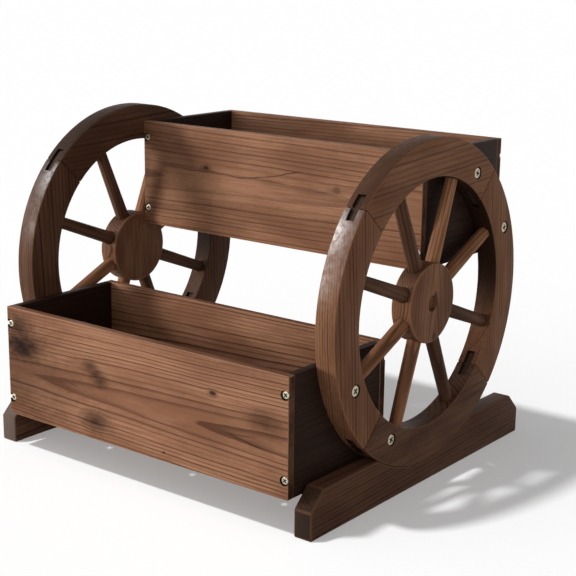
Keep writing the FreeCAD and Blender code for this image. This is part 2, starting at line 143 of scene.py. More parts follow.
def leave_edit():
    bpy.ops.object.mode_set(mode="OBJECT")


def modify(piece, kind, **settings):
    """Add a modifier, set it up and apply it."""
    select(piece)
    modifier = piece.modifiers.new(kind.lower(), kind)
    for name, setting in settings.items():
        setattr(modifier, name, setting)
    bpy.ops.object.modifier_apply(modifier=modifier.name)
    return piece


print("modelling helpers ready")

# %% [markdown]
# Three kinds of face are told apart while a piece is made: its surface, the walls of its holes, which get
# painted shade, and its rounded edges, which get a painted highlight.

# %% Round edges and cut holes
SURFACE, CUT_WALL, EDGE_HIGHLIGHT = 0, 1, 2
SHARP = math.radians(32)


def keep_slots(piece, count=3):
    """Give a piece as many places for a material as there are kinds of face."""
    while len(piece.data.materials) < count:
        piece.data.materials.append(None)
    while len(piece.data.materials) > count:
        piece.data.materials.pop()


def ease(piece, width, steps=3):
    """Round the edges that are sharp to the hand."""
    keep_slots(piece)
    # The rounded faces take the slot of the painted highlight.
    return modify(
        piece, "BEVEL", width=width, segments=steps, limit_method="ANGLE", angle_limit=SHARP,
        use_clamp_overlap=True, harden_normals=False, material=EDGE_HIGHLIGHT,
    )


def join(pieces):
    if len(pieces) > 1:
        select(*pieces)
        bpy.ops.object.join()
    return pieces[0]


def subtract(piece, cutters, wall=CUT_WALL):
    """Cut shapes that don't touch each other out of a piece, and mark the walls that the cut leaves."""
    cutter = join(cutters)
    keep_slots(cutter)
    keep_slots(piece)
    for face in cutter.data.polygons:
        face.material_index = wall
    modify(piece, "BOOLEAN", operation="DIFFERENCE", solver="EXACT", material_mode="INDEX", object=cutter)
    bpy.data.objects.remove(cutter)
    return piece


print("cutting helpers ready")

# %% [markdown]
# A screw hole on the real stand is drilled in two steps: a wide shallow one that hides the screw's head, and
# a thin deep one for its shank. The cutter is a disc that is extruded, inset and extruded again, so one cut
# makes both steps.

# %% Stepped cutters for screw holes
PROUD = 0.001
BIT_SIDES = 40


def drill_bit(mouth, outward, steps):
    """A cutter that starts above a hole's mouth and goes in by steps of (radius, depth)."""
    deselect()
    bpy.ops.mesh.primitive_circle_add(
        vertices=BIT_SIDES, radius=steps[0][0], fill_type="NGON", location=(0, 0, PROUD)
    )
    bit = rest(bpy.context.object)
    enter_edit(bit)
    above = PROUD
    for number, (radius, depth) in enumerate(steps):
        if number:
            bpy.ops.mesh.inset(thickness=steps[number - 1][0] - radius)
        bpy.ops.mesh.extrude_region_move(TRANSFORM_OT_translate={"value": (0, 0, -depth - above)})
        above = 0
    bpy.ops.mesh.select_all(action="SELECT")
    bpy.ops.mesh.normals_make_consistent(inside=False)
    leave_edit()
    return aim(bit, outward, mouth)


print("drill bit ready")

# %% [markdown]
# ## Wood that knows its own grain
# Every piece is sawn from a plank of its own, so each one carries two attributes: where a point lies in the
# plank, measured along, across and through the grain, and a number for the plank itself. One recipe for
# wood then serves boards, curved rim pieces and spokes alike, and the grain follows each of them. Two more
# tell how far a face looks along the grain, since sawn ends get a colour of their own, and whether it is a
# rounded edge, which gets a painted highlight.

# %% Attributes for the grain
SMOOTH_BELOW = math.radians(30)
planks_sawn = 0


def saw_from_plank(piece, corner, along, across):
    """Write the grain attributes: the plank's corner, and the directions along and across its grain."""
    global planks_sawn
    planks_sawn += 1
    along = Vector(along).normalized()
    across = Vector(across).normalized()
    axes = np.array([along, across, along.cross(across)])
    mesh = piece.data
    points = np.empty(len(mesh.vertices) * 3)
    mesh.vertices.foreach_get("co", points)
    places = (points.reshape(-1, 3) - np.array(corner)) @ axes.T
    grain = mesh.attributes.new("grain", "FLOAT_VECTOR", "POINT")
    grain.data.foreach_set("vector", places.ravel().astype(np.float32))
    plank = mesh.attributes.new("plank", "FLOAT", "POINT")
    plank.data.foreach_set("value", np.full(len(mesh.vertices), planks_sawn, np.float32))
    normals = np.empty(len(mesh.polygons) * 3)
    mesh.polygons.foreach_get("normal", normals)
    ends = mesh.attributes.new("end_grain", "FLOAT", "FACE")
    ends.data.foreach_set("value", np.abs(normals.reshape(-1, 3) @ axes[0]).astype(np.float32))
    kinds = np.empty(len(mesh.polygons), np.int32)
    mesh.polygons.foreach_get("material_index", kinds)
    # Rounded faces are marked for their painted highlight, then take the surface's slot again.
    edge_light = mesh.attributes.new("edge_highlight", "FLOAT", "FACE")
    edge_light.data.foreach_set("value", (kinds == EDGE_HIGHLIGHT).astype(np.float32))
    kinds[kinds == EDGE_HIGHLIGHT] = SURFACE
    mesh.polygons.foreach_set("material_index", kinds)


def dress(piece, material, walls=None):
    """Give a piece its finish, and the walls of its holes their painted shade."""
    keep_slots(piece, 2)
    piece.data.materials[SURFACE] = material
    piece.data.materials[CUT_WALL] = walls or material


def hand_over(piece, node, material, walls=None):
    """Name a finished piece, dress it and put it in the place of its node."""
    piece.name = f"{node}_dressed"
    piece.data.name = piece.name
    dress(piece, material, walls)
    select(piece)
    bpy.ops.object.shade_smooth_by_angle(angle=SMOOTH_BELOW)
    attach(piece, "root")
    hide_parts(node)


print("grain attributes ready")

# %% [markdown]
# ## A small kit for materials
# Shader nodes are easier to read as sums than as a web of boxes, so a few short functions add a node and
# return its output.

# %% Node helpers


def stain(red, green, blue):
    """A colour as a paint chart gives it, from 0 to 255, turned into the renderer's linear values."""
    channels = [value / 255 for value in (red, green, blue)]
    linear = [c / 12.92 if c < 0.04045 else ((c + 0.055) / 1.055) ** 2.4 for c in channels]
    return (*linear, 1.0)


class Recipe:
    """A node tree under construction."""

    def __init__(self, tree):
        self.nodes = tree.nodes
        self.links = tree.links

    def add(self, kind, inputs=(), **settings):
        node = self.nodes.new(kind)
        for name, setting in settings.items():
            setattr(node, name, setting)
        for socket, value in dict(inputs).items():
            self.feed(node.inputs[socket], value)
        return node

    def feed(self, socket, value):
        if isinstance(value, bpy.types.NodeSocket):
            self.links.new(value, socket)
        else:
            socket.default_value = value

    def finish(self, **inputs):
        """Feed the surface's own sockets, named with a _ for each blank."""
        for name, value in inputs.items():
            self.feed(self.nodes["Principled BSDF"].inputs[name.replace("_", " ")], value)

    def maths(self, operation, *values):
        return self.add("ShaderNodeMath", enumerate(values), operation=operation).outputs[0]

    def product(self, first, *others):
        for other in others:
            first = self.maths("MULTIPLY", first, other)
        return first

    def vector(self, operation, *values):
        node = self.add("ShaderNodeVectorMath", enumerate(values), operation=operation)
        return next(output for output in node.outputs if output.enabled)

    def attribute(self, name, output):
        return self.add("ShaderNodeAttribute", attribute_name=name).outputs[output]

    def noise(self, place, stretch, detail=2.0, roughness=0.5):
        """Noise from 0 to 1, with so many waves per metre along, across and through the grain."""
        scaled = self.vector("MULTIPLY", place, stretch)
        inputs = {"Vector": scaled, "Scale": 1.0, "Detail": detail, "Roughness": roughness}
        return self.add("ShaderNodeTexNoise", inputs).outputs["Fac"]

    def chance(self, number):
        """A random value from 0 to 1 that stays the same for the same number."""
        return self.add("ShaderNodeTexWhiteNoise", {"W": number}, noise_dimensions="1D").outputs["Value"]

    def fade(self, value, start, end, low=0.0, high=1.0):
        """Go smoothly from low to high as a value goes from start to end."""
        inputs = {"Value": value, "From Min": start, "From Max": end, "To Min": low, "To Max": high}
        return self.add("ShaderNodeMapRange", inputs, interpolation_type="SMOOTHSTEP").outputs[0]

    def blend(self, factor, first, second):
        """Go from the first colour to the second as a factor goes from 0 to 1."""
        node = self.add("ShaderNodeMix", data_type="RGBA")
        sockets = {socket.name: socket for socket in node.inputs if socket.enabled}
        for name, value in (("Factor", factor), ("A", first), ("B", second)):
            self.feed(sockets[name], value)
        return next(output for output in node.outputs if output.enabled)

    def seen_directly(self):
        """1 where the eye, a mirror or a glass sees the surface, and 0 where light only bounces off it."""
        path = self.add("ShaderNodeLightPath").outputs
        mirrored = self.maths("MAXIMUM", path["Is Glossy Ray"], path["Is Transmission Ray"])
        return self.maths("MAXIMUM", path["Is Camera Ray"], mirrored)


def new_material(name):
    material = bpy.data.materials.new(name)
    material.use_nodes = True
    return material, Recipe(material.node_tree)


print("material kit ready")

# %% [markdown]
# ## Stained softwood
# A log's growth rings are cones round its pith. A board cuts through them, so its face shows lines that are
# the rings' edges: soft on one side and sharp on the other, wide apart where the cut lies flat to the ring.
# The recipe measures the distance from the pith, lets it wander a little, and repeats it at the ring gap.
# Some rings are fainter than others, by chance.

# %% Growth rings
SLOW_WAVES, QUICK_WAVES = (2.4, 11.0, 11.0), (16.0, 90.0, 90.0)
QUICK_WANDER = 0.09
RING_RISE, RING_DROP = (0.5, 0.93), (0.96, 0.999)
FAINTEST_RING = 0.3


def ring_lines(recipe, along, across, through, drawn, figure):
    """Late wood: 0 in the pale part of each ring, up to 1 at its dark edge."""
    slow = recipe.maths("SUBTRACT", recipe.noise(drawn, SLOW_WAVES, 2.0), 0.5)
    quick = recipe.maths("SUBTRACT", recipe.noise(drawn, QUICK_WAVES, 3.0), 0.5)
    pith_across, pith_through = figure["pith"]
    sideways = recipe.maths("SUBTRACT", across, pith_across)
    sideways = recipe.maths("MULTIPLY_ADD", slow, figure["wander"], sideways)
    depth = recipe.maths("SUBTRACT", through, pith_through)
    squares = recipe.maths("MULTIPLY_ADD", sideways, sideways, recipe.product(depth, depth))
    from_pith = recipe.maths("MULTIPLY_ADD", along, -figure["lean"], recipe.maths("SQRT", squares))
    from_pith = recipe.maths("MULTIPLY_ADD", quick, figure["wander"] * QUICK_WANDER, from_pith)
    counted = recipe.maths("ADD", recipe.maths("DIVIDE", from_pith, figure["gap"]), figure["phase"])
    ring = recipe.maths("FRACT", counted)
    luck = recipe.chance(recipe.maths("FLOOR", counted))
    strength = recipe.fade(luck, 0.0, 1.0, FAINTEST_RING * figure["contrast"], figure["contrast"])
    rise = recipe.fade(ring, *RING_RISE)
    drop = recipe.fade(ring, *RING_DROP, 1.0, 0.0)
    return recipe.product(rise, drop, strength)


print("rings ready")

# %% [markdown]
# A knot is where a branch grew: the lines bend round it, its core is nearly black, and the stain has run dark
# round it. A knot is given by its place along and across the board, its radius and darkness, and the reach
# and darkness of the halo. A halo without a core is a darker patch; the one at the upper board's left end is
# painted shadow. Branches leave the trunk at a slant, so a knot is longer along the grain than across it.

# %% Knots
KNOT_SQUASH = 0.6
RAGGED_WAVES = (70.0, 110.0, 60.0)


def knots_in(recipe, knots, place, across, drawn):
    """Bend the lines round each knot, and return the bent position across the grain and the knots' shade."""
    ragged = recipe.maths("SUBTRACT", recipe.noise(drawn, RAGGED_WAVES, 3.0), 0.5)
    flat = recipe.vector("MULTIPLY", place, (KNOT_SQUASH, 1.0, 0.0))
    shade = 0.0
    for knot_along, knot_across, radius, core_shade, reach, halo_shade in knots:
        distance = recipe.vector("DISTANCE", flat, (KNOT_SQUASH * knot_along, knot_across, 0.0))
        pull = recipe.fade(distance, radius * 0.4, radius * 2.6, 0.6 * core_shade, 0.0)
        across = recipe.maths("MULTIPLY_ADD", recipe.maths("SUBTRACT", knot_across, across), pull, across)
        core = recipe.maths("MULTIPLY_ADD", ragged, radius * 1.3, distance)
        core = recipe.fade(core, radius * 0.4, radius * 1.2, core_shade, 0.0)
        halo = recipe.maths("MULTIPLY_ADD", ragged, reach * 0.6, distance)
        halo = recipe.fade(halo, 0.0, reach, halo_shade, 0.0)
        shade = recipe.maths("MAXIMUM", shade, recipe.maths("MAXIMUM", core, halo))
    return across, shade


print("knots ready")

# %% [markdown]
# A streak is a thin dark line of resin. It runs from one point of the board to another in a soft S, and fades
# out a little before and after its ends. It is given by its start and end, each along and across the board,
# its width and its darkness.

# %% Resin streaks
STREAK_WAVES, STREAK_WOBBLE = (16.0, 50.0, 50.0), 0.009
FADE_OUT, FADE_IN = 0.008, 0.015


def streaks_in(recipe, streaks, along, across, drawn):
    """The streaks' shade."""
    wobble = recipe.maths("SUBTRACT", recipe.noise(drawn, STREAK_WAVES, 2.0), 0.5)
    shade = 0.0
    for start, start_across, end, end_across, width, darkness in streaks:
        line = recipe.fade(along, start, end, start_across, end_across)
        line = recipe.maths("MULTIPLY_ADD", wobble, STREAK_WOBBLE, line)
        away = recipe.maths("ABSOLUTE", recipe.maths("SUBTRACT", across, line))
        core = recipe.fade(away, width * 0.2, width, darkness, 0.0)
        begun = recipe.fade(along, start - FADE_OUT, start + FADE_IN)
        ended = recipe.fade(along, end - FADE_IN, end + FADE_OUT, 1.0, 0.0)
        core = recipe.product(begun, ended, core)
        shade = recipe.maths("MAXIMUM", shade, core)
    return shade


print("streaks ready")

# %% [markdown]
# Some things on a rim go by the place on the wheel. The inside of the rim is painted darker high up and at
# the very bottom, and so is the outside of its top: this is painted shade. The front still has some varnish
# high up, in blotches, and more of it on the right wheel. Every piece rests at the origin, so object
# coordinates tell the height of a point and how far it is from the axle line.

# %% Painted shade and varnish that go by the place on the wheel
LOW_SHADE_HEIGHTS, HIGH_SHADE_HEIGHTS, TOP_SHADE_HEIGHTS = (0.07, 0.09), (0.14, 0.25), (0.36, 0.41)
VARNISH_LOW, VARNISH_HIGH = 0.02, 0.09
BLOTCH_WAVES = (160.0, 160.0, 110.0)


def place_on_wheel(recipe):
    """A point's place, its part along the axle line, its height, and how far it is from that line."""
    place = recipe.add("ShaderNodeTexCoord").outputs["Object"]
    sideways, _, height = recipe.add("ShaderNodeSeparateXYZ", {0: place}).outputs
    upright = recipe.vector("MULTIPLY", place, (0.0, 1.0, 1.0))
    radius = recipe.vector("DISTANCE", upright, (0.0, WHEEL_CENTRE.y, WHEEL_CENTRE.z))
    return place, sideways, height, radius


def outside_of_rim(recipe, radius):
    return recipe.fade(radius, WHEEL_RADIUS - 0.001, WHEEL_RADIUS - 0.0003)


def painted_rim_shade(recipe):
    """How much painted shade darkens the inside of the rim and the outside of its top."""
    _, _, height, radius = place_on_wheel(recipe)
    inner = WHEEL_RADIUS - RIM_WIDTH
    inside = recipe.fade(radius, inner + 0.0004, inner + 0.0014, 1.0, 0.0)
    high_up = recipe.fade(height, *HIGH_SHADE_HEIGHTS, 0.05, 0.9)
    low_down = recipe.fade(height, *LOW_SHADE_HEIGHTS, 0.75, 0.0)
    inside = recipe.product(inside, recipe.maths("MAXIMUM", high_up, low_down))
    top = recipe.fade(height, *TOP_SHADE_HEIGHTS, 0.0, 0.55)
    outside = recipe.product(outside_of_rim(recipe, radius), top)
    return recipe.maths("MAXIMUM", inside, outside)


def worn_varnish(recipe):
    """How much varnish is left: only on the outside of the rim, and fading downwards."""
    place, sideways, height, radius = place_on_wheel(recipe)
    by_wheel = recipe.fade(sideways, -0.02, 0.02, 0.4, 1.0)
    high_up = recipe.fade(height, WHEEL_CENTRE.z + VARNISH_LOW, WHEEL_CENTRE.z + VARNISH_HIGH)
    blotches = recipe.fade(recipe.noise(place, BLOTCH_WAVES, 4.0, 0.6), 0.36, 0.6, 0.4, 1.0)
    return recipe.product(outside_of_rim(recipe, radius), by_wheel, high_up, blotches)


print("finishes by place ready")

# %% [markdown]
# Stain soaks in unevenly, which slow noise gives, and fine fibres and pores are noise that is drawn out along
# the grain. Sawn ends get a colour of their own, which on the left foot is a painted sheen, and rounded edges
# get a painted highlight. The late wood stands a little proud and shines more. A figure says how a piece lay
# in the
# log: where the pith is, across and through the plank, the gap between rings, and how much they lean and
# wander.

# %% The recipe for stained wood
USUAL_FIGURE = {
    "pith": (0.07, -0.05), "gap": 0.0042, "phase": 0.0, "lean": 0.014, "wander": 0.012, "contrast": 1.0,
    "end_from": 0.45,
}
PLANK_STEP, PLANK_SHIFT = 1.37, 0.012
FIBRE_WAVES, PORE_WAVES = (9.0, 430.0, 430.0), (70.0, 1500.0, 1500.0)
SOAK_WAVES, PATCH_WAVES = (6.0, 20.0, 20.0), (4.0, 13.0, 13.0)
DARKEST_SHARE = 0.22
GRAIN_DEPTH = 0.0004


def stained_wood(
    name, pale, middle, dark, end=None, knots=(), streaks=(), rim=False, varnish=False, spread=0.06, **figure
):
    material, recipe = new_material(name)
    figure = USUAL_FIGURE | figure
    place = recipe.attribute("grain", "Vector")
    plank = recipe.attribute("plank", "Fac")
    aside = recipe.add("ShaderNodeCombineXYZ", {"X": recipe.product(plank, PLANK_STEP)}).outputs[0]
    drawn = recipe.vector("ADD", place, aside)
    along, across, through = recipe.add("ShaderNodeSeparateXYZ", {0: place}).outputs
    streak_shade = streaks_in(recipe, streaks, along, across, drawn)
    across, knot_shade = knots_in(recipe, knots, place, across, drawn)
    shift = recipe.product(recipe.chance(plank), PLANK_SHIFT)
    late = ring_lines(recipe, along, recipe.maths("ADD", across, shift), through, drawn, figure)

    fibre = recipe.noise(drawn, FIBRE_WAVES, 5.0, 0.66)
    pores = recipe.fade(recipe.noise(drawn, PORE_WAVES, 2.0), 0.6, 0.74)
    soak = recipe.noise(drawn, SOAK_WAVES, 4.0, 0.55)
    color = recipe.blend(recipe.fade(soak, 0.32, 0.68), pale, middle)
    color = recipe.blend(recipe.fade(fibre, 0.36, 0.72, 0.0, 0.75), color, middle)
    color = recipe.blend(recipe.fade(fibre, 0.56, 0.8, 0.0, 0.4), color, dark)
    color = recipe.blend(late, color, dark)
    color = recipe.blend(recipe.product(pores, 0.4), color, dark)
    # The darkest tone darkens knots and streaks, and also gives painted shade on rims and a painted shadow on
    # the upper board.
    darkest_tone = (*(channel * DARKEST_SHARE for channel in dark[:3]), 1.0)
    color = recipe.blend(recipe.maths("MAXIMUM", knot_shade, streak_shade), color, darkest_tone)
    patch = recipe.fade(recipe.noise(drawn, PATCH_WAVES, 3.0), 0.34, 0.66, 0.8, 1.1)
    tone = recipe.fade(recipe.chance(recipe.maths("ADD", plank, 0.5)), 0.0, 1.0, 1 - spread, 1 + spread)
    color = recipe.vector("SCALE", color, recipe.product(patch, tone))
    end_from = figure["end_from"]
    facing_end = recipe.fade(recipe.attribute("end_grain", "Fac"), end_from, end_from + 0.5)
    facing_end = recipe.product(facing_end, recipe.fade(soak, 0.3, 0.7, 0.6, 0.95))
    # Sawn ends blend to their own colour, which on the left foot is a painted sheen.
    color = recipe.blend(facing_end, color, end or middle)
    # Rounded edges are blended towards the pale tone: a painted highlight.
    edge_light = recipe.attribute("edge_highlight", "Fac")
    edge_light = recipe.product(edge_light, recipe.fade(soak, 0.3, 0.6, 0.15, 0.6))
    color = recipe.blend(edge_light, color, pale)
    # On a rim, painted shade darkens the inside and the outside of the top towards the darkest tone.
    if rim:
        color = recipe.blend(painted_rim_shade(recipe), color, darkest_tone)
    height = recipe.maths("MULTIPLY_ADD", late, 0.8, recipe.product(fibre, 0.7))
    height = recipe.maths("MULTIPLY_ADD", pores, -0.4, height)
    bump = recipe.add("ShaderNodeBump", {"Height": height, "Distance": GRAIN_DEPTH, "Strength": 0.7})
    recipe.finish(
        Base_Color=color,
        Roughness=recipe.maths("MULTIPLY_ADD", late, -0.08, recipe.fade(fibre, 0.2, 0.8, 0.46, 0.66)),
        Specular_IOR_Level=0.06,
        Normal=bump.outputs["Normal"],
    )
    if varnish:
        recipe.finish(Coat_Weight=worn_varnish(recipe), Coat_Roughness=0.36)
    print("stained:", name)
    return material


# %% [markdown]
# The boxes' front boards fill the view, so they get the real boards' own knots and streaks. Their places are
# measured from a board's left bottom corner.

# %% Knots and streaks of the front boards
LOWER_KNOTS = (
    (0.028, 0.105, 0.009, 0.95, 0.047, 1.0),
    (0.020, 0.131, 0.006, 0.40, 0.036, 0.85),
    (0.166, 0.103, 0.007, 0.35, 0.016, 0.7),
    (0.176, 0.094, 0.004, 0.30, 0.016, 0.75),
    (0.184, 0.085, 0.006, 0.35, 0.015, 0.7),
    (0.173, 0.027, 0.008, 0.80, 0.029, 0.75),
    (0.384, 0.112, 0.0038, 0.9, 0.008, 0.6),
    (0.469, 0.095, 0.006, 0.30, 0.026, 0.55),
    (0.300, 0.013, 0.0015, 0.9, 0.003, 0.5),
    (0.000, 0.060, 0.001, 0.0, 0.125, 0.5),
)
UPPER_KNOTS = (
    (0.126, 0.099, 0.004, 0.9, 0.013, 0.6),
    (0.365, 0.093, 0.006, 0.5, 0.014, 0.3),
    # A halo without a core: painted shadow over the board's left end.
    (0.000, 0.090, 0.001, 0.0, 0.120, 0.4),
)
LOWER_STREAKS = (
    (0.108, 0.074, 0.146, 0.067, 0.0012, 0.6),
    (0.403, 0.065, 0.470, 0.058, 0.0014, 0.6),
    (0.403, 0.065, 0.455, 0.069, 0.0012, 0.5),
)
UPPER_STREAKS = (
    (0.033, 0.096, 0.211, 0.092, 0.0014, 0.65),
    (0.200, 0.092, 0.302, 0.110, 0.0015, 0.7),
    (0.330, 0.099, 0.400, 0.103, 0.0011, 0.5),
    (0.330, 0.088, 0.400, 0.083, 0.0011, 0.5),
)
print("knots:", len(LOWER_KNOTS) + len(UPPER_KNOTS), "streaks:", len(LOWER_STREAKS) + len(UPPER_STREAKS))

# %% [markdown]
# The boxes' ends are the darkest, and the feet are darker than the right wheel. The left wheel's rim is
# darker than the right one's as painted shade, and the left foot's pale grey ends are a painted sheen. Half
# of the spokes came out darker. Every stain is three tones, and every wood is a stain and a figure.

# %% Mix the stains


def tones(pale, middle, dark):
    return {"pale": stain(*pale), "middle": stain(*middle), "dark": stain(*dark)}


RED_BROWN = tones((196, 144, 110), (150, 103, 76), (84, 50, 35))
WALNUT = tones((168, 120, 88), (130, 87, 62), (64, 39, 27))
DARK_WALNUT = tones((124, 88, 66), (92, 63, 47), (44, 28, 21))
BLACK_BROWN = tones((60, 40, 31), (46, 31, 24), (28, 18, 14))
DULL_BROWN = tones((104, 80, 64), (78, 57, 45), (44, 31, 24))
STREAKED_BROWN = tones((142, 102, 77), (92, 63, 47), (22, 13, 9))
HUB_BROWN = tones((178, 128, 94), (128, 86, 62), (52, 31, 22))
SPOKE_BROWN = tones((202, 146, 106), (150, 101, 72), (66, 40, 28))
BOARD_STAIN = {**RED_BROWN, "end": stain(28, 19, 15)}

LOWER_FIGURE = {"pith": (0.070, -0.042), "lean": 0.0142, "phase": 0.185, "contrast": 0.95}
UPPER_FIGURE = {"pith": (0.085, -0.05), "lean": -0.012, "gap": 0.0046, "contrast": 0.75}
RIM_FIGURE = {
    "pith": (-0.06, -0.18), "gap": 0.0036, "lean": 0.014, "wander": 0.007, "contrast": 0.8, "rim": True,
}
BOTTOM_FIGURE = {**RIM_FIGURE, "pith": (-0.14, -0.08), "gap": 0.0034, "contrast": 1.0}
FRONT_FIGURE = {**RIM_FIGURE, "contrast": 1.0, "varnish": True}
HUB_FIGURE = {"pith": (0.008, -0.03), "gap": 0.0028, "lean": -0.05, "wander": 0.006}
SPOKE_FIGURE = {"pith": (0.03, -0.04), "gap": 0.0052, "wander": 0.004, "contrast": 0.75, "spread": 0.14}
FOOT_FIGURE = {"pith": (-0.03, -0.05), "gap": 0.0044, "lean": 0.02, "end_from": 0.2}
WOODS = {
    "lower_front": {**BOARD_STAIN, **LOWER_FIGURE, "knots": LOWER_KNOTS, "streaks": LOWER_STREAKS},
    "upper_front": {**BOARD_STAIN, **UPPER_FIGURE, "knots": UPPER_KNOTS, "streaks": UPPER_STREAKS},
    "box": BOARD_STAIN,
    "box_end": BLACK_BROWN,
    "rim": {**WALNUT, **RIM_FIGURE},
    "front_rim": {**WALNUT, **FRONT_FIGURE},
    # The left wheel's darker rim is painted shade.
    "shaded_left_rim": {**DARK_WALNUT, **RIM_FIGURE},
    "shaded_left_front_rim": {**DARK_WALNUT, **FRONT_FIGURE},
    "bottom_rim": {**STREAKED_BROWN, **BOTTOM_FIGURE},
    "hub": {**HUB_BROWN, **HUB_FIGURE, "end": stain(80, 53, 38)},
    "spoke": {**SPOKE_BROWN, **SPOKE_FIGURE},
    "dark_spoke": {**DARK_WALNUT, **SPOKE_FIGURE},
    "tongue": {**DULL_BROWN, "pith": (0.02, -0.03), "gap": 0.003},
    "right_foot": {**DARK_WALNUT, **FOOT_FIGURE, "end": stain(56, 42, 34)},
    # The left foot's pale grey ends are a painted sheen.
    "left_foot": {**DARK_WALNUT, **FOOT_FIGURE, "end": stain(116, 103, 96)},
}
wood = {name: stained_wood(f"{name}_wood", **settings) for name, settings in WOODS.items()}

# %% [markdown]
# The walls that a cut leaves, in drilled holes, sawn slots and the feet's seats, are painted all but black:
# painted shade.

# %% Walls of holes


def cloudy_finish(name, waves, detail, first, second, **settings):
    """A finish that clouds from one colour to another."""
    material, recipe = new_material(name)
    place = recipe.add("ShaderNodeTexCoord").outputs["Object"]
    clouds = recipe.noise(place, (waves, waves, waves), detail)
    recipe.finish(Base_Color=recipe.blend(clouds, first, second), **settings)
    print("mixed:", name)
    return material


HOLE_SHADE_TONES = stain(26, 17, 13), stain(48, 33, 26)
# Painted shade for the walls of every cut.
painted_hole_shade = cloudy_finish("painted_hole_shade", 700.0, 3.0, *HOLE_SHADE_TONES, Roughness=0.85, Specular_IOR_Level=0.1)

# %% [markdown]
# ## The boxes
# A board is a block with rounded arrises. The front and back boards run the full length and carry the screw
# holes; the side boards stand between them, and the screws go into their ends.

# %% Boards with their screw holes
BOARD_BORE, BOARD_BORE_DEEP, BOARD_SHANK = 0.0065, 0.003, 0.0021
BOARD_SCREW = 0.034
BOARD_SCREW_EDGE = 0.0245
WHEEL_BORE, WHEEL_BORE_DEEP, WHEEL_SHANK = 0.0087, 0.0025, 0.0026
PILOT_DEEP = 0.0105
DRAIN_RADIUS, DRAIN_STEP, DRAIN_CUT = 0.005, 0.16, 0.03
BOARD_EASE = 0.0011
WHEEL_SCREWS = {
    "rear": (0.186, 0.074), "top": (0.104, 0.161), "front": (-0.172, -0.078), "bottom": (-0.088, -0.166),
}
BOX_SCREWS = {"lower": ("front", "bottom"), "upper": ("top", "rear")}


def screw_rows(low, high):
    return (low.z + BOARD_SCREW_EDGE, high.z - BOARD_SCREW_EDGE)


def eased_block(node):
    """A block as large as a node, with its arrises rounded, and its lowest and highest corner."""
    low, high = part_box(node)
    return ease(block(high - low, (low + high) / 2), BOARD_EASE), low, high


def face_board(node, outward, material):
    board, low, high = eased_block(node)
    face = high.y if outward > 0 else low.y
    thick = high.y - low.y
    bits = []
    for across in (low.x + thick / 2, high.x - thick / 2):
        for row in screw_rows(low, high):
            steps = ((BOARD_BORE, BOARD_BORE_DEEP), (BOARD_SHANK, thick))
            bits.append(drill_bit((across, face, row), (0, outward, 0), steps))
    subtract(board, bits)
    saw_from_plank(board, (low.x, face, low.z), (1, 0, 0), (0, 0, 1))
    hand_over(board, node, material, painted_hole_shade)


def side_board(node, side, wheel_screws):
    board, low, high = eased_block(node)
    middle = (low.x + high.x) / 2
    depth = BOARD_SCREW + BOARD_BORE_DEEP - (high.x - low.x) + PROUD
    bits = []
    for end, outward in ((low.y, -1), (high.y, 1)):
        for row in screw_rows(low, high):
            bits.append(drill_bit((middle, end, row), (0, outward, 0), ((BOARD_SHANK, depth),)))
    face = high.x if side > 0 else low.x
    for name in wheel_screws:
        behind, above = WHEEL_SCREWS[name]
        spot = (face, WHEEL_CENTRE.y + behind, WHEEL_CENTRE.z + above)
        bits.append(drill_bit(spot, (side, 0, 0), ((WHEEL_SHANK, PILOT_DEEP),)))
    subtract(board, bits)
    saw_from_plank(board, (face, low.y, low.z), (0, 1, 0), (0, 0, 1))
    hand_over(board, node, wood["box_end"], painted_hole_shade)


def floor_board(node):
    board, low, high = eased_block(node)
    middle = (low + high) / 2
    bits = []
    for step in (-DRAIN_STEP, 0, DRAIN_STEP):
        spot = (middle.x + step, middle.y, middle.z)
        bits.append(rod(spot, UP, DRAIN_RADIUS, DRAIN_CUT, 32))
    subtract(board, bits)
    saw_from_plank(board, (low.x, low.y, high.z), (1, 0, 0), (0, 1, 0))
    hand_over(board, node, wood["box"], painted_hole_shade)


def cleat(node):
    bar, low, _ = eased_block(node)
    saw_from_plank(bar, low, (0, 1, 0), (0, 0, 1))
    hand_over(bar, node, wood["box"])


for tier in ("lower", "upper"):
    face_board(f"{tier}_front_board", -1, wood[f"{tier}_front"])
    face_board(f"{tier}_back_board", 1, wood["box"])
    for hand, side in SIDE.items():
        side_board(f"{tier}_{hand}_side_board", side, BOX_SCREWS[tier])
        cleat(f"{tier}_{hand}_cleat")
    for row in ("front", "rear"):
        floor_board(f"{tier}_{row}_floor_board")
    print(tier, "box made")

# %% [markdown]
# ## The wheels' rims
# A rim piece is a quarter of a ring, sawn from a straight plank. The section is drawn as a rectangle and
# spun round the axle line. Spinning gives clean walls, and the bevel then finds only the real corners. The
# slots for the tongues, the spokes' sockets and the screw hole are cut last, so that their edges stay crisp.

# %% Rim pieces
JOINT_TURN, SPOKE_STEP = 45, 45
FELLOE_HALF = math.radians(44.92)
JOINT_EDGE = math.radians(0.7)
RIM_STEPS = 48
TONGUE_HALF = 0.019
tongue_low, tongue_high = span("right_wheel_top_rear_tongue")
TONGUE_THICK = tongue_high.x - tongue_low.x
FIT = 0.0001
SLOT_GAP = 0.0005
JOINT_GAP, JOINT_GAP_DEEP, JOINT_OVERLAP = 0.0027, 0.004, 0.0004
SOCKET_GAP = 0.0005
OVERCUT, SLOT_OVERCUT = 0.01, 0.03
WHEEL_EASE = 0.0016
FOOT_SCREW_STEP, FOOT_SHANK = 0.038, 0.0026
FOOT_BORE, FOOT_BORE_DEEP, FOOT_SCREW = 0.0065, 0.012, 0.048


def radial(angle):
    """The direction from the axle line at an angle in degrees, from the back towards the top."""
    return Vector((0, math.cos(math.radians(angle)), math.sin(math.radians(angle))))


def wheel_middle(side):
    return Vector((side * (WHEEL_INNER + WHEEL_THICK / 2), WHEEL_CENTRE.y, WHEEL_CENTRE.z))


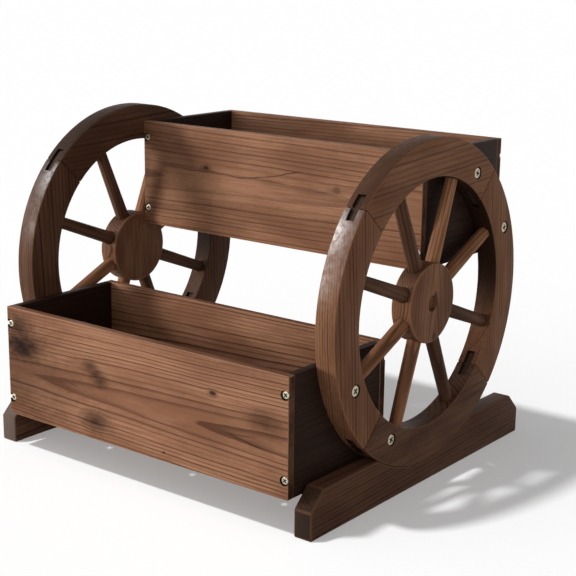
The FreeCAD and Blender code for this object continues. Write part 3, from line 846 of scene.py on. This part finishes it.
def quarter_ring():
    """A quarter of a ring round the X axis, its middle towards the back."""
    deselect()
    bpy.ops.mesh.primitive_plane_add(size=1)
    ring = bpy.context.object
    ring.scale = (WHEEL_THICK, RIM_WIDTH, 1)
    ring.location = (0, WHEEL_RADIUS - RIM_WIDTH / 2, 0)
    rest(ring)
    ring.rotation_euler = (-FELLOE_HALF, 0, 0)
    rest(ring)
    enter_edit(ring)
    bpy.ops.mesh.spin(steps=RIM_STEPS, angle=-2 * FELLOE_HALF, center=(0, 0, 0), axis=(1, 0, 0))
    bpy.ops.mesh.select_all(action="SELECT")
    bpy.ops.mesh.normals_make_consistent(inside=False)
    leave_edit()
    ease(ring, WHEEL_EASE)
    for face in ring.data.polygons:
        if abs(math.atan2(face.center.z, face.center.y)) > FELLOE_HALF - JOINT_EDGE:
            face.material_index = SURFACE
    return ring


def tongue_slot(centre, angle):
    """A cutter for a slot through the rim along a joint."""
    size = (TONGUE_THICK + 2 * SLOT_GAP, RIM_WIDTH + SLOT_OVERCUT, 2 * (TONGUE_HALF + SLOT_GAP))
    middle = centre + radial(angle) * (WHEEL_RADIUS - RIM_WIDTH / 2)
    return block(size, middle, (math.radians(angle), 0, 0))


def joint_gap(centre, angle):
    """A cutter for a gap on the rim, for the one joint that has opened a little."""
    size = (WHEEL_THICK + OVERCUT, 2 * JOINT_GAP_DEEP, JOINT_GAP + JOINT_OVERLAP)
    middle = centre + radial(angle) * WHEEL_RADIUS + radial(angle + 90) * JOINT_GAP / 2
    return block(size, middle, (math.radians(angle), 0, 0))


RIM_WOODS = {
    "right": {"rear": "rim", "top": "rim", "front": "front_rim", "bottom": "bottom_rim"},
    "left": {"rear": "shaded_left_rim", "top": "shaded_left_rim", "front": "shaded_left_front_rim", "bottom": "bottom_rim"},
}


def felloe(node, side, angle, quarter, blank, material):
    select(blank)
    bpy.ops.object.duplicate()
    piece = bpy.context.object
    centre = wheel_middle(side)
    piece.location = centre
    piece.rotation_euler = (math.radians(angle), 0, 0)
    rest(piece)
    cutters = [tongue_slot(centre, angle + turn) for turn in (-JOINT_TURN, JOINT_TURN)]
    if quarter == "front" and side > 0:
        cutters.append(joint_gap(centre, angle - JOINT_TURN))
    for turn in (-SPOKE_STEP / 2, SPOKE_STEP / 2):
        reach = WHEEL_RADIUS - RIM_WIDTH + TIP_SOCKET
        outward = radial(angle + turn)
        cutters.append(rod(centre + outward * reach / 2, outward, TIP_RADIUS + SOCKET_GAP, reach))
    behind, above = WHEEL_SCREWS[quarter]
    mouth = centre + Vector((side * WHEEL_THICK / 2, behind, above))
    steps = ((WHEEL_BORE, WHEEL_BORE_DEEP), (WHEEL_SHANK, WHEEL_THICK))
    cutters.append(drill_bit(mouth, (side, 0, 0), steps))
    for cutter in cutters:
        subtract(piece, [cutter])
    if quarter == "bottom":
        for step in (-FOOT_SCREW_STEP, FOOT_SCREW_STEP):
            top = FOOT_BORE_DEEP + FOOT_SCREW + PROUD
            spot = (centre.x, centre.y + step, top / 2)
            subtract(piece, [rod(spot, UP, FOOT_SHANK, top, 24)])
    outside = centre + radial(angle) * WHEEL_RADIUS + Vector((side * WHEEL_THICK / 2, 0, 0))
    saw_from_plank(piece, outside, radial(angle + 90), -radial(angle))
    hand_over(piece, node, material, painted_hole_shade)


blank = quarter_ring()
for hand, side in SIDE.items():
    for number, quarter in enumerate(QUARTERS):
        angle = number * 90 + TURN[hand]
        material = wood[RIM_WOODS[hand][quarter]]
        felloe(f"{hand}_wheel_{quarter}_felloe", side, angle, quarter, blank, material)
    print(hand, "rim made")
bpy.data.objects.remove(blank)

# %% [markdown]
# The tongues are already right in the frame, so each one is a copy of its node's mesh. A node's mesh is loose
# triangles, so the copy is merged and its flat faces are joined before its edges are rounded.

# %% Tongues
TONGUE_EASE = 0.0004
SAME_POINT, SAME_PLANE = 0.00001, math.radians(0.5)


def eased_copy(node, width):
    """A copy of a node with its triangles merged into faces and its edges rounded."""
    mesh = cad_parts[node].data.copy()
    piece = bpy.data.objects.new(node, mesh)
    bpy.context.scene.collection.objects.link(piece)
    enter_edit(piece)
    bpy.ops.mesh.remove_doubles(threshold=SAME_POINT)
    bpy.ops.mesh.dissolve_limited(angle_limit=SAME_PLANE)
    leave_edit()
    return ease(piece, width, 2)


JOINTS = {"top_rear": 45, "top_front": 135, "bottom_front": 225, "bottom_rear": 315}
for hand, side in SIDE.items():
    for joint, angle in JOINTS.items():
        node = f"{hand}_wheel_{joint}_tongue"
        tongue = eased_copy(node, TONGUE_EASE)
        at = angle + TURN[hand]
        saw_from_plank(tongue, wheel_middle(side), radial(at), radial(at + 90))
        hand_over(tongue, node, wood["tongue"])
    print(hand, "tongues made")

# %% [markdown]
# ## Hubs and spokes
# A hub is a thick disc with a shallow blind recess in its outer face and a ring of sockets. A spoke tapers
# from the hub to the rim like a chair leg. Each one is turned at its own place, from a plank of its own, and
# half of the spokes took the stain darker.

# %% Hubs
RECESS_RADIUS, RECESS_DEPTH = 0.011, 0.006
HUB_EASE, SPOKE_EASE = 0.0022, 0.0012
SPOKES = 8
DARK_SPOKES = (3, 4, 7, 8)


def hub(node, side, first):
    centre = wheel_middle(side)
    piece = rod(centre, (side, 0, 0), HUB_RADIUS, WHEEL_THICK, 96)
    ease(piece, HUB_EASE, 4)
    face = centre + Vector((side * WHEEL_THICK / 2, 0, 0))
    subtract(piece, [drill_bit(face, (side, 0, 0), ((RECESS_RADIUS, RECESS_DEPTH),))], SURFACE)
    for number in range(SPOKES):
        outward = radial(first + number * SPOKE_STEP)
        length = ROOT_SOCKET + OVERCUT
        middle = centre + outward * (HUB_RADIUS - ROOT_SOCKET + length / 2)
        subtract(piece, [rod(middle, outward, ROOT_RADIUS + SOCKET_GAP, length)])
    saw_from_plank(piece, face, (0, 0, 1), (0, 1, 0))
    hand_over(piece, node, wood["hub"], painted_hole_shade)


def spoke(node, side, angle, material):
    start = HUB_RADIUS - ROOT_SOCKET + FIT
    end = WHEEL_RADIUS - RIM_WIDTH + TIP_SOCKET - FIT
    centre = wheel_middle(side)
    deselect()
    bpy.ops.mesh.primitive_cone_add(vertices=32, radius1=ROOT_RADIUS, radius2=TIP_RADIUS, depth=end - start)
    piece = bpy.context.object
    piece.rotation_euler = (math.radians(angle - 90), 0, 0)
    piece.location = centre + radial(angle) * (start + end) / 2
    rest(piece)
    ease(piece, SPOKE_EASE, 3)
    saw_from_plank(piece, centre, radial(angle), radial(angle + 90))
    hand_over(piece, node, material)


for hand, side in SIDE.items():
    first = SPOKE_STEP / 2 + TURN[hand]
    hub(f"{hand}_wheel_hub", side, first)
    for number in range(1, SPOKES + 1):
        material = wood["dark_spoke" if number in DARK_SPOKES else "spoke"]
        spoke(f"{hand}_wheel_spoke_{number}", side, first + (number - 1) * SPOKE_STEP, material)
    print(hand, "hub and spokes made")

# %% [markdown]
# ## The feet
# A foot is a beam with its two top corners sawn off and an arc cut in its top for the wheel. The corners
# are bisected away, and a rod as large as the wheel cuts the seat.

# %% Feet
FOOT_CORNER, FOOT_EASE = 0.025, 0.002
SEAT_GAP, SEAT_CUT, SEAT_SIDES = 0.0003, 0.1, 256


def saw_corner(piece, point, normal):
    """Saw a piece off along a plane and close the cut."""
    enter_edit(piece)
    bpy.ops.mesh.bisect(plane_co=point, plane_no=normal, use_fill=True, clear_outer=True)
    leave_edit()


def foot(node, side, material):
    low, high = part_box(node)
    beam = block(high - low, (low + high) / 2)
    saw_corner(beam, (0, low.y + FOOT_CORNER, high.z), (0, -1, 1))
    saw_corner(beam, (0, high.y - FOOT_CORNER, high.z), (0, 1, 1))
    centre = wheel_middle(side)
    subtract(beam, [rod(centre, (1, 0, 0), WHEEL_RADIUS + SEAT_GAP, SEAT_CUT, SEAT_SIDES)])
    ease(beam, FOOT_EASE, 3)
    for step in (-FOOT_SCREW_STEP, FOOT_SCREW_STEP):
        steps = ((FOOT_BORE, FOOT_BORE_DEEP), (FOOT_SHANK, high.z))
        subtract(beam, [drill_bit((centre.x, centre.y + step, 0), (0, 0, -1), steps)])
    saw_from_plank(beam, (high.x if side > 0 else low.x, low.y, low.z), (0, 1, 0), (0, 0, 1))
    hand_over(beam, node, material, painted_hole_shade)


for hand, side in SIDE.items():
    foot(f"{hand}_foot", side, wood[f"{hand}_foot"])
print("feet made")

# %% [markdown]
# ## Screws
# The screws are zinc plated, and weather has made the plating dull in patches, so colour and roughness change
# together with one noise. The cross of every head is painted dark: painted shade in the recess.

# %% Zinc
ZINC_WAVES = 900.0


def zinc():
    material, recipe = new_material("zinc")
    place = recipe.add("ShaderNodeTexCoord").outputs["Object"]
    cloudy = recipe.noise(place, (ZINC_WAVES, ZINC_WAVES, ZINC_WAVES), 3.0, 0.6)
    recipe.finish(
        Base_Color=recipe.blend(recipe.fade(cloudy, 0.3, 0.7), stain(188, 176, 150), stain(226, 216, 192)),
        Roughness=recipe.fade(cloudy, 0.3, 0.7, 0.38, 0.52),
        Metallic=0.55,
    )
    return material


zinc_finish = zinc()
# Painted shade for the cross in each head.
RECESS_SHADE_TONES = stain(20, 14, 10), stain(58, 44, 32)
painted_recess_shade = cloudy_finish("shaded_recess", ZINC_WAVES, 2.0, *RECESS_SHADE_TONES, Roughness=0.8)
print("zinc mixed")

# %% [markdown]
# A screw has a low round head with a cross in it. The head starts as a disc: its top is inset and lifted a
# little for the crown, its rim is rounded, and two crossed bars cut the recess. The point is hidden in the
# wood, so a thin copy of the shank, slid down by the point's length, stands for it. Crown and cross go by the
# size of the head, so one helper serves all three kinds of screw.

# %% One screw of each kind
CROWN_INSET, CROWN_RISE, CROWN_ROUND = 0.45, 0.18, 0.28
CROWN_SHARP = math.radians(50)
CROSS_LONG, CROSS_WIDE, CROSS_HIGH, CROSS_MIDDLE = 1.2, 0.38, 1.2, 1.1
POINT, POINT_SHARE = 0.006, 0.1
FACES_UP = 0.9


def screw(head_radius, head_thick, shank_radius, length):
    """A screw along Z, the underside of its head at 0 and its point down."""
    head = rod((0, 0, head_thick / 2), UP, head_radius, head_thick, 40)
    enter_edit(head, "DESELECT")
    leave_edit()
    for face in head.data.polygons:
        face.select = face.normal.z > FACES_UP
    bpy.ops.object.mode_set(mode="EDIT")
    bpy.ops.mesh.inset(thickness=head_radius * CROWN_INSET)
    bpy.ops.transform.translate(value=(0, 0, head_thick * CROWN_RISE))
    leave_edit()
    modify(
        head, "BEVEL", width=head_thick * CROWN_ROUND, segments=3, limit_method="ANGLE",
        angle_limit=CROWN_SHARP,
    )
    dress(head, zinc_finish, painted_recess_shade)
    bar = (head_radius * CROSS_LONG, head_radius * CROSS_WIDE, head_thick * CROSS_HIGH)
    for turn in (0, 90):
        subtract(head, [block(bar, (0, 0, head_thick * CROSS_MIDDLE), (0, 0, math.radians(turn)))])
    shank = rod((0, 0, (POINT - length) / 2), UP, shank_radius, length - POINT, 20)
    enter_edit(shank)
    bpy.ops.mesh.extrude_region_move(TRANSFORM_OT_translate={"value": (0, 0, -POINT)})
    bpy.ops.transform.resize(value=(POINT_SHARE, POINT_SHARE, 1))
    leave_edit()
    dress(shank, zinc_finish, painted_recess_shade)
    return join([head, shank])


WHEEL_SCREW = 0.0375
board_screw = screw(0.0049, 0.0013, 0.002, BOARD_SCREW)
wheel_screw = screw(0.0071, 0.0014, 0.0025, WHEEL_SCREW)
foot_screw = screw(0.0055, 0.0025, 0.0025, FOOT_SCREW)
print("screws modelled")

# %% [markdown]
# A driver leaves every screw with its cross at another angle, so each copy is turned by the next angle of a
# short list. The screws of a box, of a wheel and of both feet are one piece each.

# %% Copies in their places
HAND_TURNS = (12, 71, 38, 55, 20, 83, 5, 47)


def drive(node, model, places):
    """Copy a screw to each (spot, outward), each turned as the driver left it, and join the copies."""
    copies = []
    for number, (spot, outward) in enumerate(places):
        select(model)
        bpy.ops.object.duplicate()
        spin = math.radians(HAND_TURNS[number % len(HAND_TURNS)])
        copies.append(aim(bpy.context.object, outward, spot, spin))
    hand_over(join(copies), node, zinc_finish, painted_recess_shade)


for tier in ("lower", "upper"):
    places = []
    for face, outward in (("front", -1), ("back", 1)):
        low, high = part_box(f"{tier}_{face}_board")
        seat = low.y + BOARD_BORE_DEEP if outward < 0 else high.y - BOARD_BORE_DEEP
        inset = (high.y - low.y) / 2
        for across in (low.x + inset, high.x - inset):
            places += [((across, seat, row), (0, outward, 0)) for row in screw_rows(low, high)]
    drive(f"{tier}_box_screws", board_screw, places)
foot_places = []
for hand, side in SIDE.items():
    centre = wheel_middle(side)
    seat = centre + Vector((side * (WHEEL_THICK / 2 - WHEEL_BORE_DEEP), 0, 0))
    places = [(seat + Vector((0, *WHEEL_SCREWS[quarter])), (side, 0, 0)) for quarter in QUARTERS]
    drive(f"{hand}_wheel_screws", wheel_screw, places)
    for step in (-FOOT_SCREW_STEP, FOOT_SCREW_STEP):
        foot_places.append(((centre.x, centre.y + step, FOOT_BORE_DEEP), (0, 0, -1)))
drive("foot_screws", foot_screw, foot_places)
for model in (board_screw, wheel_screw, foot_screw):
    bpy.data.objects.remove(model)
print("screws driven")

# %% [markdown]
# ## Floor, light and camera
# The stand is shown on a plain white floor that runs out of the picture. To the eye the floor is white, while
# to the light that bounces off it, it is darker, so that the undersides stay dark.

# %% Floor
FLOOR_SIZE = 30


def floor_finish():
    material, recipe = new_material("white_floor")
    color = recipe.blend(recipe.seen_directly(), stain(150, 150, 150), stain(249, 249, 249))
    recipe.finish(Base_Color=color, Roughness=0.9, Specular_IOR_Level=0.0)
    return material


deselect()
bpy.ops.mesh.primitive_plane_add(size=FLOOR_SIZE)
floor = bpy.context.object
floor.name = "floor"
floor.data.materials.append(floor_finish())
print("floor laid")

# %% [markdown]
# A lamp low at the front left lights the wood, a weak one fills in from the right, and one that only shines
# in gloss makes the varnish gleam. The floor has a lamp of its own, high on the left, that gives the stand's
# shadow, and one without shadows that lifts it. Light linking tells each lamp what it lights.

# %% Lamps
MIDDLE = Vector((0, 0, 0.22))


def lit_by_name(name, include_floor):
    """A light group: only the floor, or all but the floor."""
    group = bpy.data.collections.new(name)
    group.objects.link(floor)
    group.collection_objects[0].light_linking.link_state = "INCLUDE" if include_floor else "EXCLUDE"
    return group


def lamp(name, kind, energy, direction, lights, distance=2.3, **settings):
    """A lamp that shines on the middle of the stand from a direction."""
    light = bpy.data.lights.new(name, kind)
    light.energy = energy
    for setting, value in settings.items():
        setattr(light, setting, value)
    holder = bpy.data.objects.new(name, light)
    bpy.context.scene.collection.objects.link(holder)
    towards = Vector(direction).normalized()
    holder.location = MIDDLE + towards * distance
    holder.rotation_euler = towards.to_track_quat("Z", "Y").to_euler()
    holder.light_linking.receiver_collection = lights
    return holder


wood_only = lit_by_name("lit_wood", False)
floor_only = lit_by_name("lit_floor", True)
lamp("key", "AREA", 24, (-0.62, -0.72, 0.17), wood_only, shape="DISK", size=0.5)
lamp("fill", "AREA", 4, (0.95, -0.45, 0.2), wood_only, shape="DISK", size=1.2)
gleam = lamp("gleam", "AREA", 46, (-0.6, -0.45, 0.62), wood_only, shape="DISK", size=0.5)
gleam.visible_diffuse = False
lamp("shadow", "SUN", 1.83, (-0.35, -0.31, 1), floor_only, angle=math.radians(4.5))
lamp("lift", "SUN", 0.87, (0, 0, 1), floor_only, use_shadow=False)
print("lamps hung")

# %% [markdown]
# The room round the stand is brightest in front on the left, as from a window, so the world's glow goes by
# direction. Where the eye or a mirror sees the room, it is plain white.

# %% World
GLOW_FROM = Vector((-0.45, -0.85, 0.1)).normalized()
GLOW_FOCUS, GLOW_FRONT, GLOW_AROUND = 2.0, 0.75, 0.13
world = bpy.data.worlds.new("white_room")
bpy.context.scene.world = world
world.use_nodes = True
room = Recipe(world.node_tree)
facing = room.add("ShaderNodeTexCoord").outputs["Generated"]
towards_front = room.maths("MAXIMUM", room.vector("DOT_PRODUCT", facing, GLOW_FROM), 0.0)
glow = room.maths("MULTIPLY_ADD", room.maths("POWER", towards_front, GLOW_FOCUS), GLOW_FRONT, GLOW_AROUND)
strength = room.add("ShaderNodeMix", data_type="FLOAT")
room.feed(strength.inputs[0], room.seen_directly())
room.feed(strength.inputs[2], glow)
room.feed(strength.inputs[3], 1.0)
room.feed(world.node_tree.nodes["Background"].inputs["Color"], (1, 1, 1, 1))
room.feed(world.node_tree.nodes["Background"].inputs["Strength"], strength.outputs[0])
print("world lit")

# %% [markdown]
# The camera's place, aim, roll and lens come from a fit to points that were measured in the photo.

# %% Camera
CAMERA_PLACE = Vector((1.1801, -1.4617, 0.6980))
CAMERA_AIM = Vector((-0.1994, 0.3176, 0.1319))
CAMERA_ROLL = math.radians(0.708)
CAMERA_LENS, SENSOR_WIDTH = 83.78, 36
camera_data = bpy.data.cameras.new("camera")
camera_data.lens = CAMERA_LENS
camera_data.sensor_width = SENSOR_WIDTH
camera = bpy.data.objects.new("camera", camera_data)
bpy.context.scene.collection.objects.link(camera)
camera.location = CAMERA_PLACE
camera.rotation_mode = "QUATERNION"
facing = (CAMERA_AIM - CAMERA_PLACE).to_track_quat("-Z", "Y")
camera.rotation_quaternion = facing @ Quaternion(UP, CAMERA_ROLL)
bpy.context.scene.camera = camera
bpy.context.scene.view_settings.view_transform = "Standard"
print("camera set")
